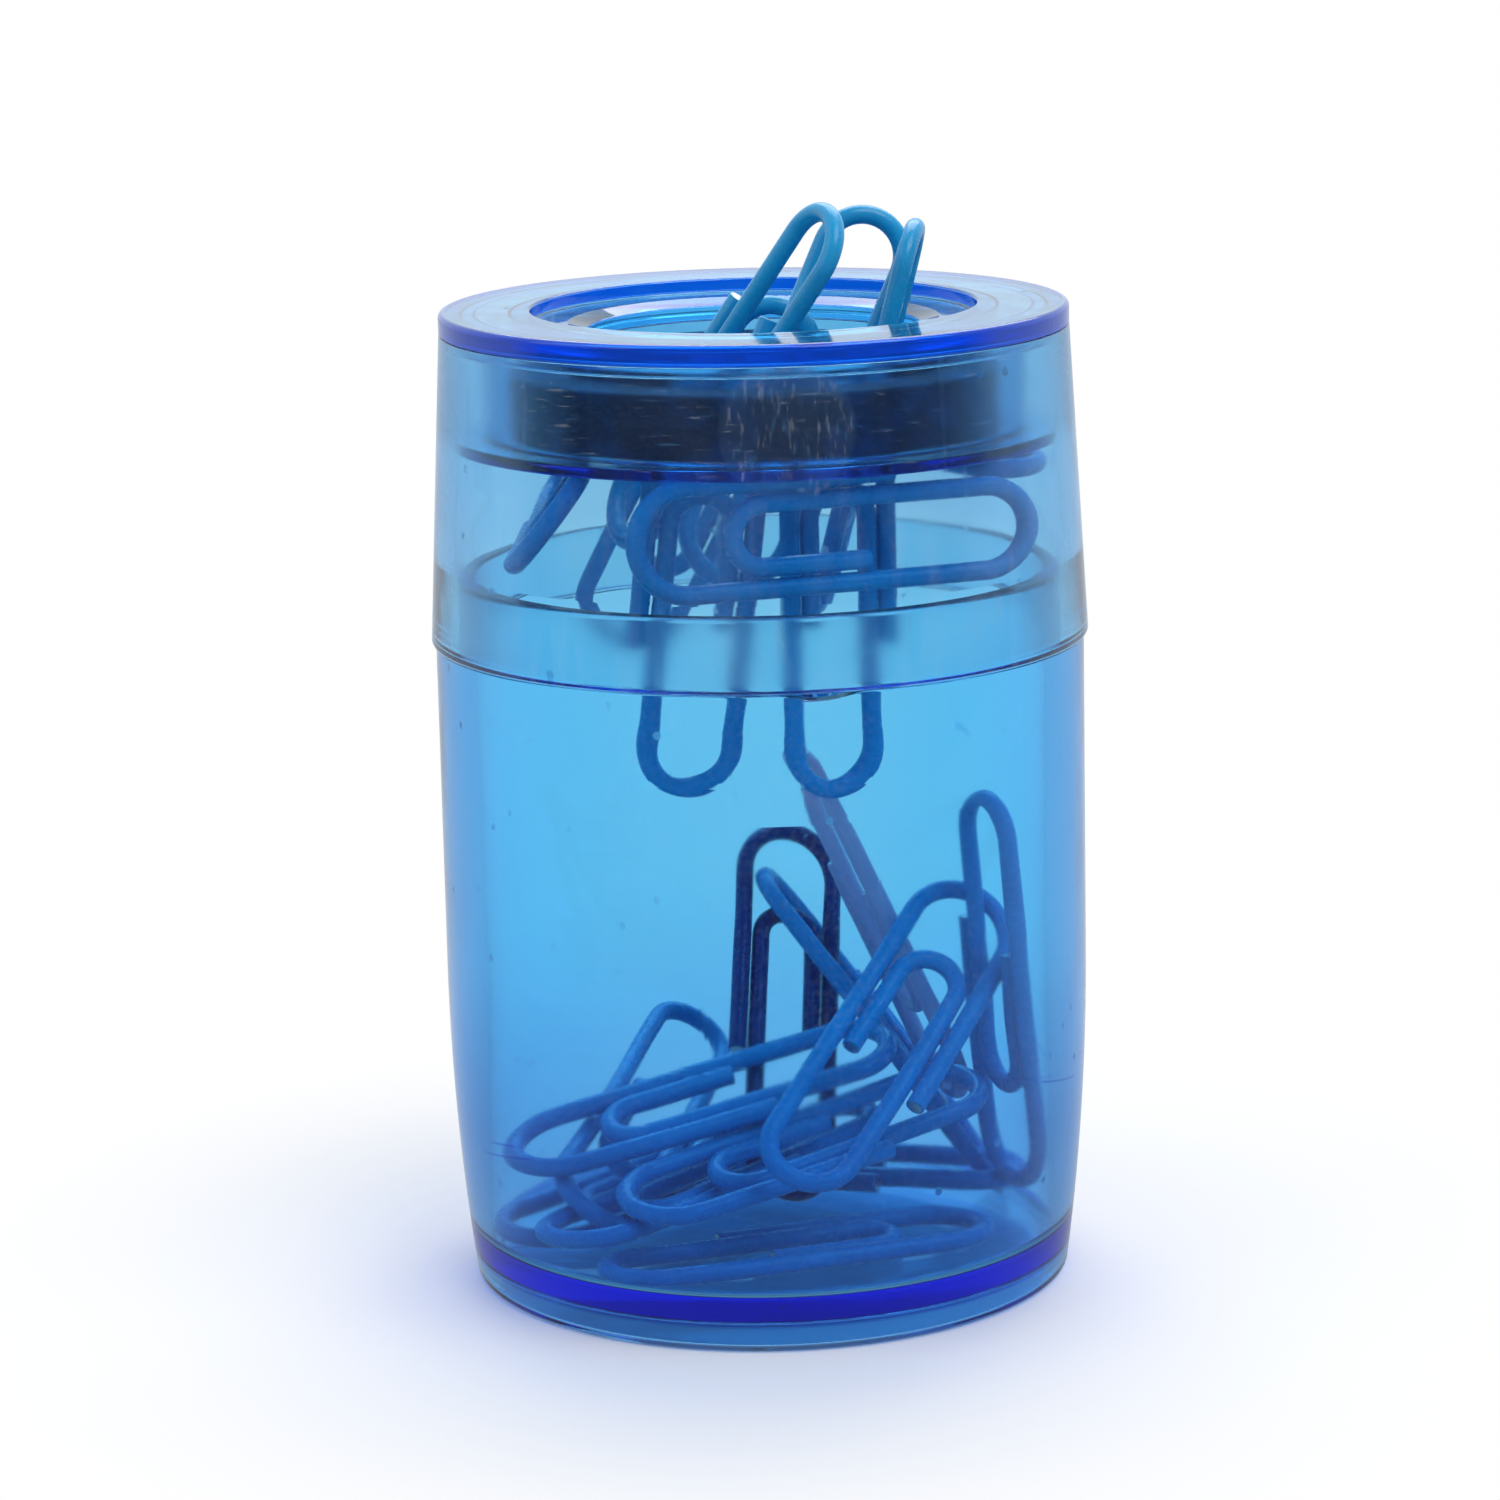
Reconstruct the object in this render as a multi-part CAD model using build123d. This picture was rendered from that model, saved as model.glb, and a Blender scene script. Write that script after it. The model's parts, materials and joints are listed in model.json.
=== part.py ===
"""Magnetic paper clip holder for a desk.

A clear barrel in two halves: a base cup with a neck, and a cap that pushes down over the neck.
The cap's glued top plate has a dished mouth, and under it a tray holds a ring magnet, so that
clips from the cup cling round the mouth.  The holder stands at the origin, +Z up, and its front,
where the thumb notch is, looks along -Y.  All sizes are in millimetres.
"""

from build123d import *
import os
import numpy as np

# Overall heights
HEIGHT = 67.0
JOINT_HEIGHT = 44.6

# Base cup
BELLY_RADIUS = 22.05
FOOT_DRAW_IN = 1.45
CURVE_HEIGHT = 22.0
FOOT_EDGE_RADIUS = 0.5
FOOT_RING_WIDTH = 1.9
FOOT_RECESS = 1.8
FLOOR_THICKNESS = 1.7
FLOOR_CORNER_RADIUS = 0.8
SHOULDER_WIDTH = 1.45
NECK_WALL = 1.2
BORE_DRAFT = 0.2
NECK_HEIGHT = 4.8
NECK_EDGE_BEVEL = 0.3
SHOULDER_EDGE_BEVEL = 0.2
NOTCH_WIDTH = 5.2
NOTCH_DEPTH = 0.4
NOTCH_TURN = 10.0
NOTCH_LEDGE = 0.2

# Cap barrel
LIP_OVERHANG = 0.3
CAP_TAPER = 1.15
CAP_TOP_WALL = 1.45
NECK_CLEARANCE = 0.08
SOCKET_SPARE = 0.8
LIP_EDGE_BEVEL = 0.2

# Top plate
PLATE_THICKNESS = 1.4
PLATE_EDGE_RADIUS = 0.35
LEDGE_WIDTH = 3.8
RECESS_DEPTH = 1.0
RECESS_EDGE_BEVEL = 0.2
MOUTH_SLOPE_WIDTH = 1.3
MOUTH_SLOPE_DEPTH = 0.45
SPIGOT_HEIGHT = 0.9
SPIGOT_WIDTH = 0.9
GLUE_CLEARANCE = 0.06

# Magnet tray and magnet
TRAY_HEIGHT = 6.5
TRAY_FLOOR = 0.8
TRAY_INSET = 1.45
TRAY_WALL = 1.0
THROAT_STEP = 0.3
COLLAR_WALL = 1.0
MAGNET_SLACK = 0.8
MAGNET_WIDTH = 3.7
MAGNET_HEIGHT = 4.3
MAGNET_CLEARANCE = 0.3

# Paper clips: coated wire, three bends
CLIP_LENGTH = 28.0
CLIP_WIDTH = 8.4
WIRE_DIAMETER = 1.3
WIRE_GAP = 0.15
INNER_BEND_INSET = 6.5
OUTER_LEG_REACH = 18.2
INNER_LEG_REACH = 16.5
WIRE_SIDES = 8
BEND_CHORDS = 5
SEAT_GAP = 0.12
BODY_GAP = 0.5

# How finely, and for how long, the loose clips are settled
STRIP_LINES = 6
WALL_STEPS = 12
PULL_STEP = 0.1
TOUCH_BAND = 0.1
SETTLED = 0.03
SETTLE_ROUNDS = 250
TINY = 1e-9

# Heights worked out from the sizes above
FLOOR_TOP = FOOT_RECESS + FLOOR_THICKNESS
NECK_TOP = JOINT_HEIGHT + NECK_HEIGHT
PLATE_SEAT = HEIGHT - PLATE_THICKNESS
RECESS_FLOOR = HEIGHT - RECESS_DEPTH
RECESS_UNDER = RECESS_FLOOR - PLATE_THICKNESS
TRAY_UNDER = RECESS_UNDER - TRAY_HEIGHT
SOCKET_TOP = NECK_TOP + SOCKET_SPARE

# Radii worked out from the belly inwards
FOOT_RADIUS = BELLY_RADIUS - FOOT_DRAW_IN
NECK_RADIUS = BELLY_RADIUS - SHOULDER_WIDTH
BORE_RADIUS = NECK_RADIUS - NECK_WALL
SOCKET_RADIUS = NECK_RADIUS + NECK_CLEARANCE
LIP_RADIUS = BELLY_RADIUS + LIP_OVERHANG
CAP_TOP_RADIUS = LIP_RADIUS - CAP_TAPER
CAP_TOP_BORE = CAP_TOP_RADIUS - CAP_TOP_WALL
TRAY_RADIUS = CAP_TOP_BORE - TRAY_INSET
MAGNET_RADIUS = TRAY_RADIUS - TRAY_WALL - MAGNET_SLACK
MAGNET_BORE = MAGNET_RADIUS - MAGNET_WIDTH
COLLAR_RADIUS = MAGNET_BORE - MAGNET_CLEARANCE
THROAT_RADIUS = COLLAR_RADIUS - COLLAR_WALL
MOUTH_RADIUS = THROAT_RADIUS - THROAT_STEP
RECESS_RADIUS = MOUTH_RADIUS + LEDGE_WIDTH
WIRE_RADIUS = WIRE_DIAMETER / 2


def cup_bore(z):
    """Inner radius of the base cup at a height: widest at the neck's rim, for the mould's draft."""
    return BORE_RADIUS - BORE_DRAFT * (NECK_TOP - z) / (NECK_TOP - FLOOR_TOP)


def cap_bore(z):
    """Inner radius of the cap at a height: a socket for the neck, then a cone up to the top plate."""
    share = np.clip((z - SOCKET_TOP) / (PLATE_SEAT - SOCKET_TOP), 0, 1)
    return SOCKET_RADIUS + (CAP_TOP_BORE - SOCKET_RADIUS) * share


def belly(z):
    """Outer radius of the base below its straight side: an arc tangent to the upright."""
    sag = BELLY_RADIUS - FOOT_RADIUS
    arc_radius = (CURVE_HEIGHT**2 + sag**2) / (2 * sag)
    return BELLY_RADIUS - arc_radius + np.sqrt(arc_radius**2 - (CURVE_HEIGHT - z) ** 2)


def corner(face, r, z):
    """The corner of a profile at a place."""
    return face.vertices().sort_by_distance((r, z, 0))[0]


def turned(edges, rounds=(), bevels=()):
    """Spins a closed profile, drawn as (r, z), round the upright axis.

    Corners to round or bevel first are each given as (r, z, size).
    """
    profile = make_face(edges)
    for r, z, size in rounds:
        profile = fillet(corner(profile, r, z), size)
    for r, z, size in bevels:
        profile = chamfer(corner(profile, r, z), size)
    return revolve(Plane.XZ * profile, Axis.Z)


def base_cup():
    """Lower barrel: foot ring, floor, curved side, shoulder and neck in one moulding."""
    foot_bore = FOOT_RADIUS - FOOT_RING_WIDTH
    side = ThreePointArc(
        (FOOT_RADIUS, 0),
        (belly(CURVE_HEIGHT / 2), CURVE_HEIGHT / 2),
        (BELLY_RADIUS, CURVE_HEIGHT),
    )
    rest = Polyline(
        (BELLY_RADIUS, CURVE_HEIGHT),
        (BELLY_RADIUS, JOINT_HEIGHT),
        (NECK_RADIUS, JOINT_HEIGHT),
        (NECK_RADIUS, NECK_TOP),
        (BORE_RADIUS, NECK_TOP),
        (cup_bore(FLOOR_TOP), FLOOR_TOP),
        (0, FLOOR_TOP),
        (0, FOOT_RECESS),
        (foot_bore, FOOT_RECESS),
        (foot_bore, 0),
        (FOOT_RADIUS, 0),
    )
    rounds = (
        (FOOT_RADIUS, 0, FOOT_EDGE_RADIUS),
        (foot_bore, 0, FOOT_EDGE_RADIUS),
        (cup_bore(FLOOR_TOP), FLOOR_TOP, FLOOR_CORNER_RADIUS),
    )
    bevels = (
        (BELLY_RADIUS, JOINT_HEIGHT, SHOULDER_EDGE_BEVEL),
        (NECK_RADIUS, NECK_TOP, NECK_EDGE_BEVEL),
        (BORE_RADIUS, NECK_TOP, NECK_EDGE_BEVEL),
    )
    return turned([side, rest], rounds, bevels) - thumb_notch()


def thumb_notch():
    """Lens-shaped hollow in the shoulder, where a nail gets under the cap's lip."""
    radius = (NOTCH_WIDTH**2 / 4 + NOTCH_DEPTH**2) / (2 * NOTCH_DEPTH)
    shoulder = BELLY_RADIUS - NECK_RADIUS - NOTCH_LEDGE
    axis_height = JOINT_HEIGHT - NOTCH_DEPTH + radius
    cutter = Pos(0, -BELLY_RADIUS, axis_height) * Rot(90, 0, 0) * Cylinder(radius, 2 * shoulder)
    return Rot(0, 0, NOTCH_TURN) * cutter


def cap_barrel():
    """Upper barrel: a plain tapered wall with a socket that slides over the neck."""
    outline = Polyline(
        (SOCKET_RADIUS, JOINT_HEIGHT),
        (LIP_RADIUS, JOINT_HEIGHT),
        (CAP_TOP_RADIUS, PLATE_SEAT),
        (CAP_TOP_BORE, PLATE_SEAT),
        (SOCKET_RADIUS, SOCKET_TOP),
        (SOCKET_RADIUS, JOINT_HEIGHT),
    )
    bevels = (
        (LIP_RADIUS, JOINT_HEIGHT, LIP_EDGE_BEVEL),
        (SOCKET_RADIUS, JOINT_HEIGHT, LIP_EDGE_BEVEL),
    )
    return turned(outline, bevels=bevels)


def top_plate():
    """Glued top: a flat rim, a dished recess and a mouth with a sloping edge."""
    step = RECESS_RADIUS + PLATE_THICKNESS
    spigot = CAP_TOP_BORE - GLUE_CLEARANCE
    outline = Polyline(
        (MOUTH_RADIUS, RECESS_UNDER),
        (step, RECESS_UNDER),
        (step, PLATE_SEAT),
        (spigot - SPIGOT_WIDTH, PLATE_SEAT),
        (spigot - SPIGOT_WIDTH, PLATE_SEAT - SPIGOT_HEIGHT),
        (spigot, PLATE_SEAT - SPIGOT_HEIGHT),
        (spigot, PLATE_SEAT),
        (CAP_TOP_RADIUS, PLATE_SEAT),
        (CAP_TOP_RADIUS, HEIGHT),
        (RECESS_RADIUS, HEIGHT),
        (RECESS_RADIUS, RECESS_FLOOR),
        (MOUTH_RADIUS + MOUTH_SLOPE_WIDTH, RECESS_FLOOR),
        (MOUTH_RADIUS, RECESS_FLOOR - MOUTH_SLOPE_DEPTH),
        (MOUTH_RADIUS, RECESS_UNDER),
    )
    rounds = [(CAP_TOP_RADIUS, HEIGHT, PLATE_EDGE_RADIUS)]
    bevels = (
        (RECESS_RADIUS, HEIGHT, RECESS_EDGE_BEVEL),
        (RECESS_RADIUS, RECESS_FLOOR, RECESS_EDGE_BEVEL),
    )
    return turned(outline, rounds, bevels)


def magnet_tray():
    """Tray under the mouth: flange against the cap's wall, outer wall, and collar round the throat."""
    inside = TRAY_UNDER + TRAY_FLOOR
    flange = cap_bore(inside) - GLUE_CLEARANCE
    outline = Polyline(
        (THROAT_RADIUS, TRAY_UNDER),
        (flange, TRAY_UNDER),
        (flange, inside),
        (TRAY_RADIUS, inside),
        (TRAY_RADIUS, RECESS_UNDER),
        (TRAY_RADIUS - TRAY_WALL, RECESS_UNDER),
        (TRAY_RADIUS - TRAY_WALL, inside),
        (COLLAR_RADIUS, inside),
        (COLLAR_RADIUS, RECESS_UNDER),
        (THROAT_RADIUS, RECESS_UNDER),
        (THROAT_RADIUS, TRAY_UNDER),
    )
    return turned(outline)


def ring_magnet():
    """Ferrite ring that lies on the tray's floor round the collar."""
    bottom = TRAY_UNDER + TRAY_FLOOR
    outline = Polyline(
        (MAGNET_BORE, bottom),
        (MAGNET_RADIUS, bottom),
        (MAGNET_RADIUS, bottom + MAGNET_HEIGHT),
        (MAGNET_BORE, bottom + MAGNET_HEIGHT),
        (MAGNET_BORE, bottom),
    )
    return turned(outline)


# Loose clips: (x, y, rise) of the centre, heading and climb of the length and twist of the width in
# degrees, and what holds the clip.  The rise counts from the floor, or else from the tray's underside.
# These are rough places: settle_clips() moves each clip until it clears its neighbours and bears on
# one of them, on the floor, on a wall or under the tray.
FLOOR, TRAY, THROAT, MOUTH = "floor", "tray", "throat", "mouth"
PULL_OUT = {FLOOR: 0, TRAY: 0, THROAT: PULL_STEP, MOUTH: 0}
PULL_UP = {FLOOR: -PULL_STEP, TRAY: PULL_STEP, THROAT: 0, MOUTH: 0}
CLIPS = {
    "clip_mouth_left": ((-2.2, -3, 4.6), -20, 55, 224, MOUTH),
    "clip_mouth_back": ((2.6, 3.8, 2.1), 12, 66, 265, MOUTH),
    "clip_mouth_right": ((7.5, -0.6, 0.9), 5, 75, -12, MOUTH),
    "clip_throat_back": ((-4.3, 8.5, -3.9), 0, 62, 265, THROAT),
    "clip_hanging_left": ((-4.3, -7.2, -9.5), 147, -82, -130, THROAT),
    "clip_hanging_right": ((5.3, -8.2, -9.2), 115, -90, 0, THROAT),
    "clip_tray_front": ((4.8, -13, -4.32), 20, 0, -90, TRAY),
    "clip_tray_right": ((10, 8.9, -0.8), -50, 0, 0, TRAY),
    "clip_tray_left": ((-13.6, -0.3, -4.2), 90, 0, 127, TRAY),
    "clip_floor_front": ((1.5, -9, 0.8), -158, 0, 0, FLOOR),
    "clip_floor_left": ((-7, 3, 2.5), 40, 5, 0, FLOOR),
    "clip_floor_right": ((6, 8.3, 1.5), -22, 3, 0, FLOOR),
    "clip_low_front": ((2.3, -6, 5.5), 24, 15, 10, FLOOR),
    "clip_low_left": ((-5.5, -5, 3.4), 38, 6, -6, FLOOR),
    "clip_back_left": ((-7.5, 3.5, 5.5), 75, 14, 30, FLOOR),
    "clip_navy": ((1.3, 8, 11.7), -102, -58, -38, FLOOR),
    "clip_long_left": ((-4.5, -1, 8.5), 15, 14, 10, FLOOR),
    "clip_wall_right": ((16.8, 0, 16.5), 180, 86, 22, FLOOR),
    "clip_lilac": ((7.9, 6.2, 20.4), 180, 65, 18, FLOOR),
    "clip_back_right": ((9, 10.2, 10.1), 160, 48, 15, FLOOR),
    "clip_loop_front": ((7.9, -6, 13.5), -125, -32, 150, FLOOR),
}


def clip_shape():
    """A clip in its own plane: the wire's two cut ends, and each bend as (u, v, radius, side).

    u runs along the clip, from the end with two bends to the end with one, and v across it.
    """
    half = (CLIP_WIDTH - WIRE_DIAMETER) / 2
    pitch = WIRE_DIAMETER + WIRE_GAP
    reach = CLIP_LENGTH / 2 - WIRE_RADIUS
    single = half - pitch / 2
    inner = half - pitch
    bends = (
        (half - reach, 0, half, -1),
        (reach - single, pitch / 2, single, 1),
        (INNER_BEND_INSET + inner - reach, 0, inner, -1),
    )
    start = (OUTER_LEG_REACH - CLIP_LENGTH / 2, -half)
    finish = (INNER_LEG_REACH - CLIP_LENGTH / 2, inner)
    return start, bends, finish


def clip_trace():
    """A clip's centreline as points: its straight legs, and each bend as short chords."""
    start, bends, finish = clip_shape()
    turn = np.linspace(-np.pi / 2, np.pi / 2, BEND_CHORDS + 1)
    runs = [[start]]
    for u, v, radius, side in bends:
        runs.append(np.stack([u + side * radius * np.cos(turn), v - side * radius * np.sin(turn)], 1))
    runs.append([finish])
    flat = np.concatenate(runs)
    return np.pad(flat, ((0, 0), (0, 1)))


def clip_wire():
    """One clip: a wire with a few flats, swept along its legs and the chords of its bends."""
    path = Polyline(*map(tuple, clip_trace().tolist()))
    section = Plane(origin=path @ 0, z_dir=path % 0) * RegularPolygon(WIRE_RADIUS, WIRE_SIDES)
    return sweep(section, path=path, transition=Transition.RIGHT)


def clip_strip():
    """The flat strip that a clip sweeps when it is drawn out lengthwise, as a zigzag of points."""
    count = len(clip_trace())
    ends = np.tile([-1, 1, 1, -1], count)[:count] * (CLIP_LENGTH / 2 - WIRE_RADIUS)
    lines = np.minimum(np.arange(count) // 2, STRIP_LINES - 1)
    across = (lines / (STRIP_LINES - 1) - 0.5) * (CLIP_WIDTH - WIRE_DIAMETER)
    return np.stack([ends, across, np.zeros(count)], 1)


def clip_axes(heading, climb, twist):
    """Unit vectors along a clip, across it and out of its plane, as rows."""
    h, c, t = np.radians([heading, climb, twist])
    along = np.array([np.cos(c) * np.cos(h), np.cos(c) * np.sin(h), np.sin(c)])
    level = np.array([-np.sin(h), np.cos(h), 0])
    across = np.cos(t) * level + np.sin(t) * np.cross(along, level)
    return np.stack([along, across, np.cross(along, across)])


def nearest_points(a, b, c, d):
    """Nearest points of the segments a-b and c-d, worked out for whole arrays of segments."""
    ab, cd, ca = b - a, d - c, a - c
    e, f, g = (ab * ab).sum(-1) + TINY, (cd * cd).sum(-1) + TINY, (ab * cd).sum(-1)
    p, q = (ab * ca).sum(-1), (cd * ca).sum(-1)
    s = np.clip((g * q - p * f) / (e * f - g * g + TINY), 0, 1)
    t = np.clip((g * s + q) / f, 0, 1)
    s = np.clip((g * t - p) / e, 0, 1)
    return a + s[..., None] * ab, c + t[..., None] * cd


def wall_push(points, gap):
    """How far each point of a centreline must move to leave a gap to the holder's inside."""
    x, y, z = points.T
    rho = np.hypot(x, y) + TINY
    out = np.stack([x / rho, y / rho, 0 * z], 1)
    up = np.array([0, 0, 1])
    spare = WIRE_RADIUS + gap
    push = np.maximum(FLOOR_TOP + spare - z, 0)[:, None] * up
    bore = np.where(z < NECK_TOP + spare, np.minimum(cup_bore(z), cap_bore(z)), cap_bore(z))
    push -= np.where(z < TRAY_UNDER, np.maximum(rho + spare - bore, 0), 0)[:, None] * out
    way_through = np.where(z < RECESS_UNDER - spare, THROAT_RADIUS, MOUTH_RADIUS)
    inward = np.maximum(rho + spare - way_through, 0)
    downward = np.maximum(z + spare - TRAY_UNDER, 0)
    blocked = z < RECESS_FLOOR
    push -= np.where(blocked & (inward <= downward), inward, 0)[:, None] * out
    push -= np.where(blocked & (inward > downward), downward, 0)[:, None] * up
    return push


def spread(points):
    """Points spread evenly over each straight piece of a line."""
    share = np.arange(WALL_STEPS)[:, None, None] / WALL_STEPS
    return (points[:-1] + share * np.diff(points, axis=0)).reshape(-1, 3)


def turn_matrix(spin):
    """Rotation matrix, for rows of vectors, of a small turn given as an axis times an angle."""
    angle = np.linalg.norm(spin) + TINY
    x, y, z = spin / angle
    cross = np.array([[0, z, -y], [-z, 0, x], [y, -x, 0]])
    return np.eye(3) + np.sin(angle) * cross + (1 - np.cos(angle)) * cross @ cross


def settle_clips():
    """Moves the loose clips apart, and then towards the floor, tray or throat, until each one bears.

    Each round finds where wires are too close, pushes and turns the clips by the mean of what is
    missing, and shifts a clip that touches nothing by one step.  Clips in the mouth yield only to
    the walls and each other, without turning, and the strips that they slide along stay free.
    """
    names = list(CLIPS)
    held = np.array([CLIPS[name][4] for name in names])
    centre = np.array([CLIPS[name][0] for name in names], float)
    centre[:, 2] += np.where(held == FLOOR, FLOOR_TOP, TRAY_UNDER)
    axes = np.stack([clip_axes(*CLIPS[name][1:4]) for name in names])
    fixed = held == MOUTH
    local = np.stack([clip_strip() if stays else clip_trace() for stays in fixed])
    pairs = np.stack(np.triu_indices(len(names), 1))
    lifted = held != FLOOR
    for _ in range(SETTLE_ROUNDS):
        points = local @ axes + centre[:, None]
        low, high = points.min(1), points.max(1)
        reach = WIRE_DIAMETER + BODY_GAP + TOUCH_BAND
        close = ((low[pairs] < high[pairs[::-1]] + reach).all(2)).all(0)
        i, j = pairs[:, close]
        apart_later = (lifted[i] != lifted[j]) | fixed[i] | fixed[j]
        gap = np.where(apart_later, BODY_GAP, SEAT_GAP)
        room = (WIRE_DIAMETER + gap)[:, None, None]
        a, b = points[:, :-1], points[:, 1:]
        near_i, near_j = nearest_points(a[i][:, :, None], b[i][:, :, None], a[j][:, None], b[j][:, None])
        apart = near_i - near_j
        distance = np.linalg.norm(apart, axis=-1) + TINY
        short = np.maximum(room - distance, 0)
        touching = (distance < room + TOUCH_BAND) & ~apart_later[:, None, None]
        shove = apart / distance[..., None] * short[..., None]
        share = np.where(fixed[i] == fixed[j], 0.5, 1.0)[:, None, None, None]
        worst = short.max()
        moves = []
        for k in range(len(names)):
            mine = (i == k) & (fixed[j] | ~fixed[k])
            yours = (j == k) & (fixed[i] | ~fixed[k])
            line = spread(points[k])
            seat = BODY_GAP if fixed[k] else SEAT_GAP
            wall = wall_push(line, seat)
            worst = max(worst, np.linalg.norm(wall, axis=1).max())
            where = np.concatenate([near_i[mine][short[mine] > 0], near_j[yours][short[yours] > 0], line])
            what = np.concatenate([
                (share * shove)[mine][short[mine] > 0],
                -(share * shove)[yours][short[yours] > 0],
                wall,
            ])
            active = np.linalg.norm(what, axis=1) > TINY
            leans = wall_push(line, seat + TOUCH_BAND).any()
            bears = leans or touching[mine].any() or touching[yours].any()
            moves.append((where[active], what[active], bears))
        adrift = any(holder != MOUTH and not bears for holder, (_, _, bears) in zip(held, moves))
        if worst < SETTLED and not adrift:
            break
        for k, (where, what, bears) in enumerate(moves):
            if len(what):
                centre[k] += what.mean(0)
                arm = where - centre[k]
                spin = np.cross(arm, what).sum(0) / ((arm**2).sum() + CLIP_LENGTH)
                axes[k] = axes[k] @ turn_matrix(np.where(fixed[k], 0, spin))
            elif not bears:
                centre[k, :2] *= 1 + PULL_OUT[held[k]] / np.linalg.norm(centre[k, :2])
                centre[k, 2] += PULL_UP[held[k]]
    return {name: (centre[k], axes[k]) for k, name in enumerate(names)}


def placed_clip(wire, centre, axes):
    """A clip's wire moved to its settled place."""
    plane = Plane(origin=tuple(centre), x_dir=tuple(axes[0]), z_dir=tuple(axes[2]))
    return plane * wire


parts = {
    "base_cup": base_cup(),
    "cap_barrel": cap_barrel(),
    "top_plate": top_plate(),
    "magnet_tray": magnet_tray(),
    "ring_magnet": ring_magnet(),
}
clip = clip_wire()
for name, (centre, axes) in settle_clips().items():
    parts[name] = placed_clip(clip, centre, axes)

os.makedirs("parts", exist_ok=True)
for name, shape in parts.items():
    export_step(shape, f"parts/{name}.step")
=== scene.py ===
"""Looks of the magnetic paper clip holder: clear blue shells, a dark ring magnet and coated clips.

Shapes are worked out in millimetres, with +Z up and the front along -Y, and put into metres last.
"""

import json
import bpy
import mathutils
import numpy as np
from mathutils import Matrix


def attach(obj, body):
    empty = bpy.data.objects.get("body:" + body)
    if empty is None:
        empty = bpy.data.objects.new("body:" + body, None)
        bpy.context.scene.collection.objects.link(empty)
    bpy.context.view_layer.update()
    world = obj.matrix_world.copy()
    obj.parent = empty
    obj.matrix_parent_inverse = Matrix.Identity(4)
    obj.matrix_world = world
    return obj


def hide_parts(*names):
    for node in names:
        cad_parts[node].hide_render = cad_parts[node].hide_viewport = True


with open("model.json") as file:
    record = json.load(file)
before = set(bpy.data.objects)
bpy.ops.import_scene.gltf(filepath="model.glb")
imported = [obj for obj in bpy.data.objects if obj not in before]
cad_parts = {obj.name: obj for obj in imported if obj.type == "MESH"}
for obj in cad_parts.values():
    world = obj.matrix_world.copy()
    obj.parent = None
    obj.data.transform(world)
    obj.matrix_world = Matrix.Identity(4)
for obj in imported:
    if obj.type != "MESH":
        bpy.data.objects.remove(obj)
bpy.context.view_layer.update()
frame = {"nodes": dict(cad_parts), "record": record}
bodies = frame["record"]["behaviour"]["bodies"]
node_body = {node: body for body, nodes in bodies.items() for node in nodes}

MM = 0.001
# Steps round a turned piece and in a rounded edge, and how far beyond the edge its flats are held flat
ROUND_STEPS, ARC_STEPS, HOLD = 288, 6, 0.05

# Heights and radii of the holder
HEIGHT, JOINT, NECK_TOP = 67.0, 44.6, 49.4
BELLY, FOOT, CURVE_HEIGHT = 22.05, 20.6, 22.0
FOOT_BORE, FOOT_RECESS, FLOOR_TOP = 18.7, 1.8, 3.5
BORE_LOW, BORE_TOP, NECK = 19.2, 19.4, 20.6
LIP, CAP_TOP, CAP_BORE, SOCKET, SOCKET_TOP = 22.35, 21.2, 19.75, 20.68, 50.2
PLATE_SEAT, RECESS_FLOOR, RECESS_UNDER = 65.6, 66.0, 64.6
RECESS, MOUTH, MOUTH_SLOPE = 15.0, 11.2, 12.5
TRAY_UNDER, TRAY_INSIDE, TRAY, THROAT = 58.1, 58.9, 18.3, 11.5
MAGNET_BORE, MAGNET, MAGNET_HEIGHT = 12.8, 16.5, 4.3

# Small sizes: the thumb notch, walls, steps and gaps
NOTCH_WIDTH, NOTCH_DEPTH, NOTCH_TURN, NOTCH_LEDGE = 5.2, 0.4, 10.0, 0.2
PLATE_WALL, SPIGOT, TRAY_WALL, SLOPE_DROP = 1.4, 0.9, 1.0, 0.45
GLUE, SIDE_GAP, MAGNET_GAP = 0.03, 0.06, 0.02


def unit(vectors):
    """Vectors of length one along the last axis."""
    return vectors / np.linalg.norm(vectors, axis=-1, keepdims=True)


def rounded(corners):
    """Profile points from (r, z, radius) corners.

    A corner with a radius becomes an arc tangent to its two sides, with one more point held close
    beyond each end of the arc, so that the flats beside it shade flat.
    """
    table = np.array(corners, float)
    spots = table[:, :2]
    out = []
    for k, radius in enumerate(table[:, 2]):
        at = spots[k]
        if radius == 0:
            out.append(at[None])
            continue
        back = unit(spots[k - 1] - at)
        ahead = unit(spots[(k + 1) % len(spots)] - at)
        half = np.arccos(np.clip(back @ ahead, -1, 1)) / 2
        leg = radius / np.tan(half)
        middle, side = unit(back + ahead), unit(ahead - back)
        centre = at + middle * radius / np.sin(half)
        share = np.linspace(-1, 1, ARC_STEPS + 1)[:, None] * (np.pi / 2 - half)
        arc = centre - radius * (np.cos(share) * middle - np.sin(share) * side)
        out += [(at + back * (leg + HOLD))[None], arc, (at + ahead * (leg + HOLD))[None]]
    return np.concatenate(out)


def outward(points, fours, threes):
    """Turns all faces over if the signed volume of the closed shape is negative."""
    split = np.concatenate([fours[:, [0, 1, 2]], fours[:, [0, 2, 3]], threes])
    a, b, c = np.moveaxis(points[split], 1, 0)
    if (np.cross(a, b) * c).sum() > 0:
        return fours, threes
    return fours[:, ::-1], threes[:, ::-1]


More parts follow.
